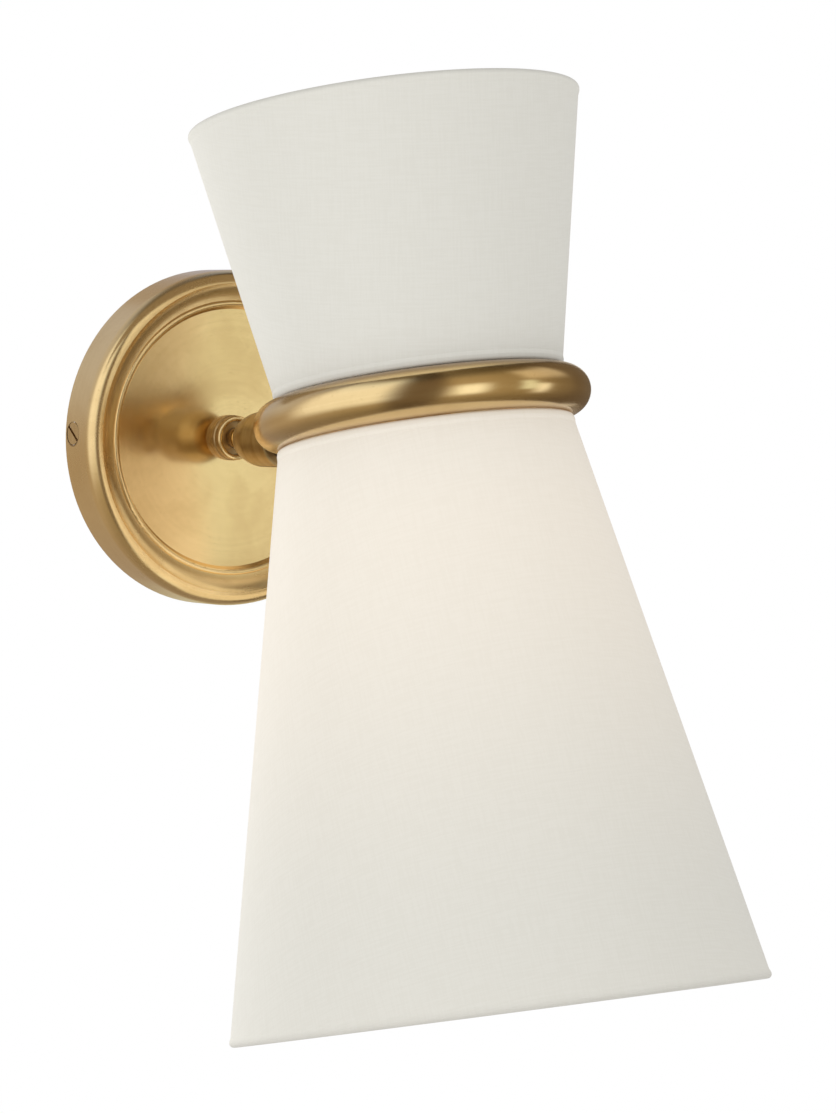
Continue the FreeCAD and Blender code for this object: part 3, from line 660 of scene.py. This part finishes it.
def revolved(name, outline, segments, is_cloth=False, lap=None):
    """Revolve a closed outline about the shade's axis. Each point is (radius, height, whether
    it is outside). A lap is (width, rise): the strip at the wall side that lies over the
    sheet's start."""
    shape = bmesh.new()
    turns = [2 * math.pi * i / segments + math.pi / 2 for i in range(segments)]
    lines = []
    for turn in turns:
        away = (turn - math.pi / 2 + math.pi) % (2 * math.pi) - math.pi
        line = []
        for radius, height, outside in outline:
            if lap and outside and 0 <= away * radius < lap[0]:
                radius += lap[1]
            line.append(shape.verts.new((radius * math.cos(turn), radius * math.sin(turn),
                                         height)))
        lines.append(line)
    flat = shape.loops.layers.uv.new(FLAT_MAP) if is_cloth else None
    count = len(outline)
    for i in range(segments):
        for j in range(count):
            k = (j + 1) % count
            face = shape.faces.new((lines[i][j], lines[(i + 1) % segments][j],
                                    lines[(i + 1) % segments][k], lines[i][k]))
            face.smooth = True
            if flat:
                for loop, column, row in zip(face.loops, (i, i + 1, i + 1, i), (j, j, k, k)):
                    loop[flat].uv = flat_place(outline[row][1],
                                               2 * math.pi * column / segments)
    bmesh.ops.recalc_face_normals(shape, faces=shape.faces)
    piece = piece_from(name, shape)
    centre, (turn, _, _) = shade_axis()
    piece.data.transform(Matrix.Translation(centre) @ Matrix.Rotation(turn, 4, "X"))
    return piece


def flat_place(height, turn):
    """Where a point of a cone lies once the cone is unrolled, in metres."""
    low, high, inner, outer = cone(height)
    lean = math.atan((outer - inner) / abs(high - low))
    reach = cloth_radius(height) / math.sin(lean)
    sector = (turn - math.pi) * math.sin(lean)
    return (reach * math.sin(sector), reach * math.cos(sector))


def sharpened(piece):
    """Keep a piece's sharp edges sharp."""
    piece.data.set_sharp_from_angle(angle=math.radians(SHARP_FROM))
    return piece


def on_shade(piece, slot, made, *nodes):
    """Finish a piece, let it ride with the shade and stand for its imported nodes."""
    piece.data.materials.append(made)
    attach(piece, "shade_head")
    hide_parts(*nodes)


# Operators


WALL_AXIS = ((0.0, 0.0, 0.0), (math.pi / 2, 0.0, 0.0))     # square to the wall


class FinishBackplate(bpy.types.Operator):
    """Spun brass cover and its screws, and the plated bracket behind it"""

    bl_idname = "wall_light.finish_backplate"
    bl_label = "Backplate"

    def execute(self, context):
        # Tone 1.07 lightens the cover's brass: painted light, for the brighter surroundings
        # that the cover reflects.
        finish_nodes(brass("Spun Brass", *WALL_AXIS, pitch=0.00035, streak=0.03, polish=0.09,
                           marked=0.3, tone=1.07, brushed=(0.055, 0.09), screws=True),
                     "backplate_cover")
        finish_nodes(brass("Screw Brass", *WALL_AXIS, pitch=0.0006, streak=0.004, age=0.7),
                     "cover_side_screws")
        finish_nodes(plated("Zinc Plate", (0.62, 0.63, 0.64), (0.42, 0.43, 0.44)),
                     "mounting_bracket", "bushing_locknut", "spindle_locknut",
                     "spindle_spring_washer", "socket_nipple", "hub_set_screw")
        green, _, _ = coated("Earth Screw Green", (0.09, 0.34, 0.13), (0.05, 0.22, 0.08),
                             low=0.3, high=0.45)
        finish_nodes(green, "ground_screw")
        return {"FINISHED"}


class FinishArm(bpy.types.Operator):
    """Turned brass of the swivel, the arm and its knuckle"""

    bl_idname = "wall_light.finish_arm"
    bl_label = "Arm and knuckle"

    def execute(self, context):
        # Painted shade darkens the collar cup towards its foot at the flange.
        flange_face, flange_foot = 0.0211, 0.0204
        finish_nodes(brass("Turned Brass", *WALL_AXIS, pitch=0.0004, streak=0.006, age=0.3,
                           polish=0.06, shade_bands=((flange_face, flange_foot, 0.8),)),
                     "swivel_bushing", "collar_cup", "swivel_spindle")
        # Tone 0.58 darkens the bell and rod beyond their age: painted shade for the dim light
        # and dark reflections round them.
        finish_nodes(brass("Bell Brass", *WALL_AXIS, pitch=0.0004, streak=0.006, age=1.0,
                           polish=-0.1, tone=0.58), "knuckle_bell", "arm_rod")
        low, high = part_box("knuckle_screw")
        pin = (low + high) / 2
        # Tone 0.6 darkens the knuckle beyond its age: painted shade, so that it shows dark in
        # the cover's reflection.
        finish_nodes(brass("Knuckle Brass", (0.0, pin.y, pin.z), (0.0, math.pi / 2, 0.0),
                           pitch=0.0005, streak=0.006, age=0.9, tone=0.6),
                     "knuckle_fork", "knuckle_screw", "knuckle_washer", "knuckle_nut",
                     "knuckle_tongue")
        finish_nodes(brass("Tube Brass", *shade_axis(math.pi / 2), pitch=0.0005, streak=0.01,
                           age=0.5), "arm_tube")
        return {"FINISHED"}


class MakeRing(bpy.types.Operator):
    """The polished brass ring between the two cones"""

    bl_idname = "wall_light.make_ring"
    bl_label = "Waist ring"

    def execute(self, context):
        sizes = context.scene.wall_light_shade
        radius, tube = sizes.ring_radius, sizes.ring_tube
        tube_segments = 64
        turns = [2 * math.pi * i / tube_segments for i in range(tube_segments)]
        outline = [(radius + tube * math.cos(t), tube * math.sin(t), False) for t in turns]
        ring = revolved("waist_ring", outline, ROUND_SEGMENTS)
        # Painted shade: the top band darkens the tube where the upper cone meets it, and the
        # underside band dims the cloth's reflection in it.
        top, underside = (0.62 * tube, 0.86 * tube, 0.8), (-0.3 * tube, -0.65 * tube, 0.3)
        made = brass("Ring Brass", *shade_axis(), pitch=0.0004, streak=0.05, age=0.35,
                     coat=0.3, polish=0.07, marked=0.6, shade_bands=(top, underside))
        on_shade(ring, "antique_brass", made, "waist_ring_left", "waist_ring_right")
        return {"FINISHED"}


class FinishShadeFrame(bpy.types.Operator):
    """Hub, lock nut, spiders and rim wires inside the shade"""

    bl_idname = "wall_light.finish_shade_frame"
    bl_label = "Shade frame"

    def execute(self, context):
        finish_nodes(brass("Hub Brass", *shade_axis(), pitch=0.0005, streak=0.006, age=0.5),
                     "hub", "upper_locknut", "socket_cap")
        wire, _, _ = coated("White Wire", (0.82, 0.81, 0.78), (0.74, 0.73, 0.69), low=0.35,
                            high=0.55)
        finish_nodes(wire, "upper_spider", "lower_spider", "upper_waist_wire",
                     "upper_top_wire", "lower_waist_wire", "lower_bottom_wire")
        return {"FINISHED"}


class FinishLampholder(bpy.types.Operator):
    """Phenolic lampholder, its contacts and the frosted bulb"""

    bl_idname = "wall_light.finish_lampholder"
    bl_label = "Lampholder and bulb"

    def execute(self, context):
        look = context.scene.wall_light_linen
        black, _, _ = coated("Black Phenolic", (0.045, 0.04, 0.036), (0.022, 0.02, 0.018),
                             low=0.32, high=0.48)
        finish_nodes(black, "socket_body", "shade_ring_nut")
        finish_nodes(plated("Contact Brass", (0.83, 0.68, 0.36), (0.66, 0.48, 0.2)),
                     "socket_screw_shell", "socket_contact")
        finish_nodes(plated("Bulb Cap", (0.82, 0.82, 0.82), (0.6, 0.6, 0.6), scale=160.0),
                     "bulb_base")
        bulb, tree, shader = coated("Frosted Bulb", (0.56, 0.55, 0.52), (0.51, 0.5, 0.47),
                                    low=0.3, high=0.4)
        glow_middle, glow_edge = 0.42, 0.34
        facing = add(tree, "ShaderNodeLayerWeight", Blend=0.35).outputs["Facing"]
        glow = blend(tree, facing, opaque([v * glow_middle for v in look.bulb]),
                     opaque([v * glow_edge for v in look.bulb]))
        tree.links.new(glow, shader.inputs["Emission Color"])
        shader.inputs["Emission Strength"].default_value = 1.0
        finish_nodes(bulb, "bulb_glass")
        lamp = bpy.data.lights.new("bulb_light", "POINT")
        lamp.energy = 0.16
        lamp.color = look.bulb
        lamp.shadow_soft_size = 0.02
        place = bpy.data.objects.new("bulb_light", lamp)
        low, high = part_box("bulb_glass")
        place.location = (low + high) / 2
        place.parent = frame["bodies"]["shade_head"]
        place.visible_camera = False
        context.scene.collection.objects.link(place)
        frame["nodes"]["bulb_glass"].visible_shadow = False
        return {"FINISHED"}


class MakeCloth(bpy.types.Operator):
    """The two cones of linen, each one sheet with a lapped seam at the wall side"""

    bl_idname = "wall_light.make_cloth"
    bl_label = "Cloth cones"

    def execute(self, context):
        sizes, look = context.scene.wall_light_shade, context.scene.wall_light_linen
        rows, under_hem, lap_rise = 40, 0.0014, 0.0003
        for name, low, high, strength in (
                ("upper_cloth", sizes.waist_height, sizes.upper_height, 0.0),
                ("lower_cloth", -sizes.lower_height, -sizes.waist_height,
                 look.glow_strength)):
            low, high = low + under_hem, high - under_hem
            heights = [low + (high - low) * i / rows for i in range(rows + 1)]
            outline = [(cloth_radius(h), h, True) for h in heights]
            outline += [(cloth_radius(h) - sizes.cloth, h, False) for h in reversed(heights)]
            cloth = sharpened(revolved(name, outline, CLOTH_SEGMENTS, True,
                                       (sizes.seam_lap, lap_rise)))
            on_shade(cloth, "linen", linen(name + "_linen", strength),
                     name + "_left", name + "_right")
        return {"FINISHED"}


def hem_outline(rim, way):
    """Outline of a rim's fold, as (radius, height) points. The cloth lies in the way given, 1
    above the rim or -1 below it."""
    sizes = bpy.context.scene.wall_light_shade
    thin, deep, tall = sizes.hem_lip, sizes.hem_depth, sizes.hem
    roll, taper = 0.0017, 0.002
    air, sunk, sunk_inside = 0.00005, 0.00002, 0.00008

    def at(offset, up):
        height = rim + way * up
        return cloth_radius(height) + offset, height

    corners = [at(-sunk, tall), at(thin + air, tall * 0.6), at(thin + air, 0.0),
               at(-deep - thin, 0.0), at(-deep - thin, tall), at(-deep, tall),
               at(-deep, thin), at(air, thin), at(-sunk_inside, tall)]
    radii = [0.0, taper, roll, roll, thin * 0.45, thin * 0.45, roll - thin, roll - thin, 0.0]
    return rounded(corners, radii)


class MakeHems(bpy.types.Operator):
    """Rolled hems at the four rims"""

    bl_idname = "wall_light.make_hems"
    bl_label = "Hems"

    def execute(self, context):
        sizes, look = context.scene.wall_light_shade, context.scene.wall_light_linen
        # Each row: name, rim height, side that the cloth lies on, glow, and how far from the
        # rim and how strongly painted shade darkens the roll.
        for name, rim, way, strength, reach, shade in (
                ("upper_top_hem", sizes.upper_height, -1, 0.0, 0.0024, 0.22),
                ("upper_waist_hem", sizes.waist_height, 1, 0.0, 0.001, 0.1),
                ("lower_waist_hem", -sizes.waist_height, -1, look.glow_strength, 0.001, 0.1),
                ("lower_bottom_hem", -sizes.lower_height, 1, look.glow_strength, 0.0034,
                 0.2)):
            outline = [(radius, height, False) for radius, height in hem_outline(rim, way)]
            hem = sharpened(revolved(name + "_fold", outline, ROUND_SEGMENTS, True))
            on_shade(hem, "linen_hem", linen(name + "_linen", strength, (rim, reach, shade)),
                     name)
        return {"FINISHED"}


def direction(azimuth, elevation):
    """Towards a place round the light. Angles are in radians."""
    return Vector((math.sin(azimuth) * math.cos(elevation),
                   -math.cos(azimuth) * math.cos(elevation), math.sin(elevation)))


def face_back(place, back, roll=0.0):
    """Turn a lamp or a camera so that it looks against a direction."""
    place.rotation_mode = "QUATERNION"
    place.rotation_quaternion = ((-back).to_track_quat("-Z", "Y")
                                 @ Quaternion((0.0, 0.0, 1.0), roll))


def softbox(name, azimuth, elevation, distance, width, height, radiance):
    """An area light that faces the shade. Angles are in degrees."""
    aim = Vector((0.0, -0.1, -0.03))
    back = direction(math.radians(azimuth), math.radians(elevation))
    light = bpy.data.lights.new(name, "AREA")
    light.shape = "RECTANGLE"
    light.size, light.size_y = width, height
    light.energy = radiance * math.pi * width * height
    place = bpy.data.objects.new(name, light)
    place.location = aim + back * distance
    face_back(place, back)
    place.visible_camera = False
    place.visible_glossy = False
    bpy.context.scene.collection.objects.link(place)


# Soft lamps: name, azimuth and elevation in degrees, distance, width, height and radiance.
LAMPS = (
    ("left_softbox", -72, 5, 2.2, 1.9, 2.2, 1.07),
    ("right_softbox", 16, 27, 2.4, 0.62, 1.8, 1.6),
    ("right_strip", 63, 28, 2.4, 0.34, 1.8, 1.3),
    ("wall_bounce", 176, 8, 2.1, 2.2, 2.2, 2.1))

# What the brass reflects: flags by azimuth, and soft boxes over them as azimuth, half width,
# elevation, half height, soft edge and what they add. Angles are in degrees.
FLAGS = (
    (-180, (0.40, 0.34, 0.28)), (-140, (0.43, 0.36, 0.28)), (-62, (0.40, 0.33, 0.22)),
    (-47, (0.16, 0.12, 0.08)), (-23, (0.16, 0.12, 0.08)), (-10, (0.44, 0.36, 0.24)),
    (45, (0.32, 0.25, 0.15)), (78, (0.22, 0.17, 0.11)), (92, (0.16, 0.12, 0.08)),
    (125, (0.16, 0.12, 0.08)), (145, (0.42, 0.37, 0.32)), (180, (0.40, 0.34, 0.28)))
PATCHES = (
    (-86, 35, 22, 38, 24, (0.62, 0.70, 0.80)), (-1, 11, -6, 18, 16, (0.75, 0.85, 0.95)),
    (53, 5, -13, 14, 9, (0.85, 0.92, 1.0)), (41, 6, -2, 14, 9, (0.52, 0.64, 0.66)),
    (62, 22, 30, 13, 14, (0.38, 0.37, 0.35)),
    (156, 15, -26, 14, 20, (0.20, 0.23, 0.13)),
    (-155, 28, 30, 26, 24, (0.10, 0.16, 0.27)), (150, 14, 30, 32, 24, (0.06, 0.14, 0.34)))

TENT_RADIUS = 0.42

# Cards close to the light: name, place, turn from facing the wall in degrees, width, height
# and colour.
CARDS = (
    ("low_bounce", (0.115, -0.065, -0.175), 0, 0.26, 0.17, (0.88, 0.82, 0.70)),
    ("side_bounce", (0.140, -0.060, 0.115), 90, 0.085, 0.22, (0.88, 0.82, 0.70)),
    ("high_flag", (0.000, -0.045, 0.135), 0, 0.24, 0.13, (0.27, 0.22, 0.16)))


def shining(name):
    """A material that glows but lights nothing, its nodes and the socket of its colour."""
    made, tree, shader = material(name)
    made.cycles.emission_sampling = "NONE"
    tree.nodes.remove(shader)
    light = add(tree, "ShaderNodeEmission", Strength=1.0)
    tree.links.new(light.outputs[0], tree.nodes["Material Output"].inputs["Surface"])
    return made, tree, light.inputs["Color"]


def unseen(piece):
    """Let only glossy surfaces show a piece of the stage."""
    piece.visible_camera = False
    piece.visible_diffuse = False
    piece.visible_shadow = False
    piece.visible_transmission = False


class SetStage(bpy.types.Operator):
    """Floor, world, lamps, the studio that the brass reflects, and the camera"""

    bl_idname = "wall_light.set_stage"
    bl_label = "Stage"

    def execute(self, context):
        settings = context.scene.wall_light_studio
        self.floor(settings)
        self.world(context, settings)
        for lamp in LAMPS:
            softbox(*lamp)
        self.tent()
        self.cards()
        self.camera(context, settings)
        context.scene.view_settings.view_transform = "Standard"
        return {"FINISHED"}

    def tent(self):
        """The studio as the brass shows it: flags and soft boxes with soft edges."""
        shape = bmesh.new()
        bmesh.ops.create_icosphere(shape, subdivisions=4, radius=TENT_RADIUS)
        piece = piece_from("gloss_tent", shape)
        piece.location = ring_centre()
        made, tree, colour_in = shining("Gloss Tent")
        way = vector_maths(tree, "NORMALIZE", own_place(tree))["Vector"]
        xyz = split(tree, way)
        turn = maths(tree, "ARCTAN2", xyz["X"], maths(tree, "MULTIPLY", xyz["Y"], -1.0))
        turn = maths(tree, "DEGREES", turn)
        rise = maths(tree, "DEGREES", maths(tree, "ARCSINE", xyz["Z"]))
        flags = add(tree, "ShaderNodeValToRGB",
                    Fac=maths(tree, "MULTIPLY_ADD", turn, 1 / 360, 0.5))
        stops = flags.color_ramp.elements
        while len(stops) > 1:
            stops.remove(stops[-1])
        for i, (azimuth, tint) in enumerate(FLAGS):
            stop = stops[0] if i == 0 else stops.new(azimuth / 360 + 0.5)
            stop.position = azimuth / 360 + 0.5
            stop.color = opaque(tint)
        flags.color_ramp.interpolation = "EASE"
        zenith, nadir = 0.38, 0.72
        above = ranged(tree, rise, 30.0, 62.0, 1.0, zenith)
        below = ranged(tree, rise, -20.0, -60.0, 1.0, nadir)
        seen = blend(tree, maths(tree, "MULTIPLY", above, below), BLACK,
                     flags.outputs["Color"])
        for azimuth, wide, elevation, high, edge, tint in PATCHES:
            masks = []
            for value, middle, half in ((turn, azimuth, wide), (rise, elevation, high)):
                masks.append(ranged(tree, off_by(tree, value, middle), half + edge / 2,
                                    half - edge / 2))
            patch = blend(tree, maths(tree, "MULTIPLY", *masks), BLACK, opaque(tint))
            seen = vector_maths(tree, "ADD", seen, patch)["Vector"]
        feed(tree, colour_in, seen)
        piece.data.materials.append(made)
        unseen(piece)

    def cards(self):
        """Small cards near the light, which only the brass shows."""
        for name, place, turn, wide, high, tint in CARDS:
            shape = bmesh.new()
            bmesh.ops.create_grid(shape, x_segments=2, y_segments=2, size=0.5)
            card = piece_from(name, shape)
            card.location = place
            card.rotation_euler = (math.pi / 2, 0.0, math.radians(turn))
            card.scale = (wide, high, 1.0)
            made, tree, colour_in = shining(name)
            feed(tree, colour_in, opaque(tint))
            card.data.materials.append(made)
            unseen(card)

    def floor(self, settings):
        """A pale round floor that fades to white at its rim."""
        rings, count = 24, 96
        middle_y, level = -0.1, -settings.floor_drop
        fade_starts, fade_ends = settings.floor_radius * 0.45, settings.floor_radius * 0.98
        shape = bmesh.new()
        centre = shape.verts.new((0.0, middle_y, level))
        turns = [2 * math.pi * i / count for i in range(count)]
        before = None
        for k in range(1, rings + 1):
            radius = settings.floor_radius * k / rings
            ring = [shape.verts.new((radius * math.cos(t), radius * math.sin(t) + middle_y,
                                     level)) for t in turns]
            for i in range(count):
                j = (i + 1) % count
                if before is None:
                    shape.faces.new((centre, ring[i], ring[j]))
                else:
                    shape.faces.new((before[i], ring[i], ring[j], before[j]))
            before = ring
        floor = piece_from("floor", shape)
        floor.visible_glossy = False
        made, tree, shader = material("Pale Floor")
        shader.inputs["Base Color"].default_value = opaque((0.9, 0.9, 0.9))
        shader.inputs["Roughness"].default_value = 0.8
        fade = ranged(tree, length_of(tree, own_place(tree)), fade_starts, fade_ends)
        white = add(tree, "ShaderNodeEmission", Color=WHITE, Strength=1.0)
        lit = add(tree, "ShaderNodeMixShader", Fac=fade)
        tree.links.new(shader.outputs[0], lit.inputs[1])
        tree.links.new(white.outputs[0], lit.inputs[2])
        tree.links.new(lit.outputs[0], tree.nodes["Material Output"].inputs["Surface"])
        floor.data.materials.append(made)

    def world(self, context, settings):
        """White all round: full where it is seen, less where it lights."""
        world = bpy.data.worlds.new("Studio White")
        world.use_nodes = True
        context.scene.world = world
        tree = world.node_tree
        back = tree.nodes["Background"].inputs
        rays = add(tree, "ShaderNodeLightPath").outputs
        seen = maths(tree, "MAXIMUM", rays["Is Camera Ray"], rays["Is Glossy Ray"])
        seen = maths(tree, "MAXIMUM", seen, rays["Is Transmission Ray"])
        back["Color"].default_value = WHITE
        tree.links.new(ranged(tree, seen, 0.0, 1.0, settings.ambient, 1.0, "LINEAR"),
                       back["Strength"])

    def camera(self, context, settings):
        """The camera that the photograph was taken with, as its circles give it."""
        lens = bpy.data.cameras.new("camera")
        lens.sensor_width = 36.0
        lens.lens = settings.focal
        lens.clip_start, lens.clip_end = 0.05, 50.0
        back = direction(settings.azimuth, settings.elevation)
        place = bpy.data.objects.new("camera", lens)
        place.location = Vector(settings.target) + back * settings.distance
        face_back(place, back, settings.roll)
        context.scene.collection.objects.link(place)
        context.scene.camera = place


OPERATORS = (FinishBackplate, FinishArm, MakeRing, FinishShadeFrame, FinishLampholder,
             MakeCloth, MakeHems, SetStage)

SETTINGS = {"wall_light_shade": ("Shade", ShadeSizes),
            "wall_light_linen": ("Linen", ShadeLook),
            "wall_light_brass": ("Brass", BrassLook),
            "wall_light_studio": ("Studio", StudioSettings)}


class WallLightPanel(bpy.types.Panel):
    """The wall light's pieces, in the order in which they are made"""

    bl_idname = "VIEW3D_PT_wall_light"
    bl_label = "Wall Light"
    bl_space_type = "VIEW_3D"
    bl_region_type = "UI"
    bl_category = "Wall Light"

    def draw(self, context):
        for group_name, (title, _) in SETTINGS.items():
            settings = getattr(context.scene, group_name)
            box = self.layout.box()
            box.label(text=title)
            for name in settings.__annotations__:
                box.prop(settings, name)
        for operator in OPERATORS:
            self.layout.operator(operator.bl_idname)


def register():
    for name, (_, settings) in SETTINGS.items():
        bpy.utils.register_class(settings)
        setattr(bpy.types.Scene, name, bpy.props.PointerProperty(type=settings))
    for kind in (*OPERATORS, WallLightPanel):
        bpy.utils.register_class(kind)


def unregister():
    for kind in (WallLightPanel, *reversed(OPERATORS)):
        bpy.utils.unregister_class(kind)
    for name, (_, settings) in SETTINGS.items():
        delattr(bpy.types.Scene, name)
        bpy.utils.unregister_class(settings)


def main():
    register()
    for make in GROUPS:
        make()
    for operator in OPERATORS:
        namespace, name = operator.bl_idname.split(".")
        getattr(getattr(bpy.ops, namespace), name)()


if __name__ == "__main__":
    main()
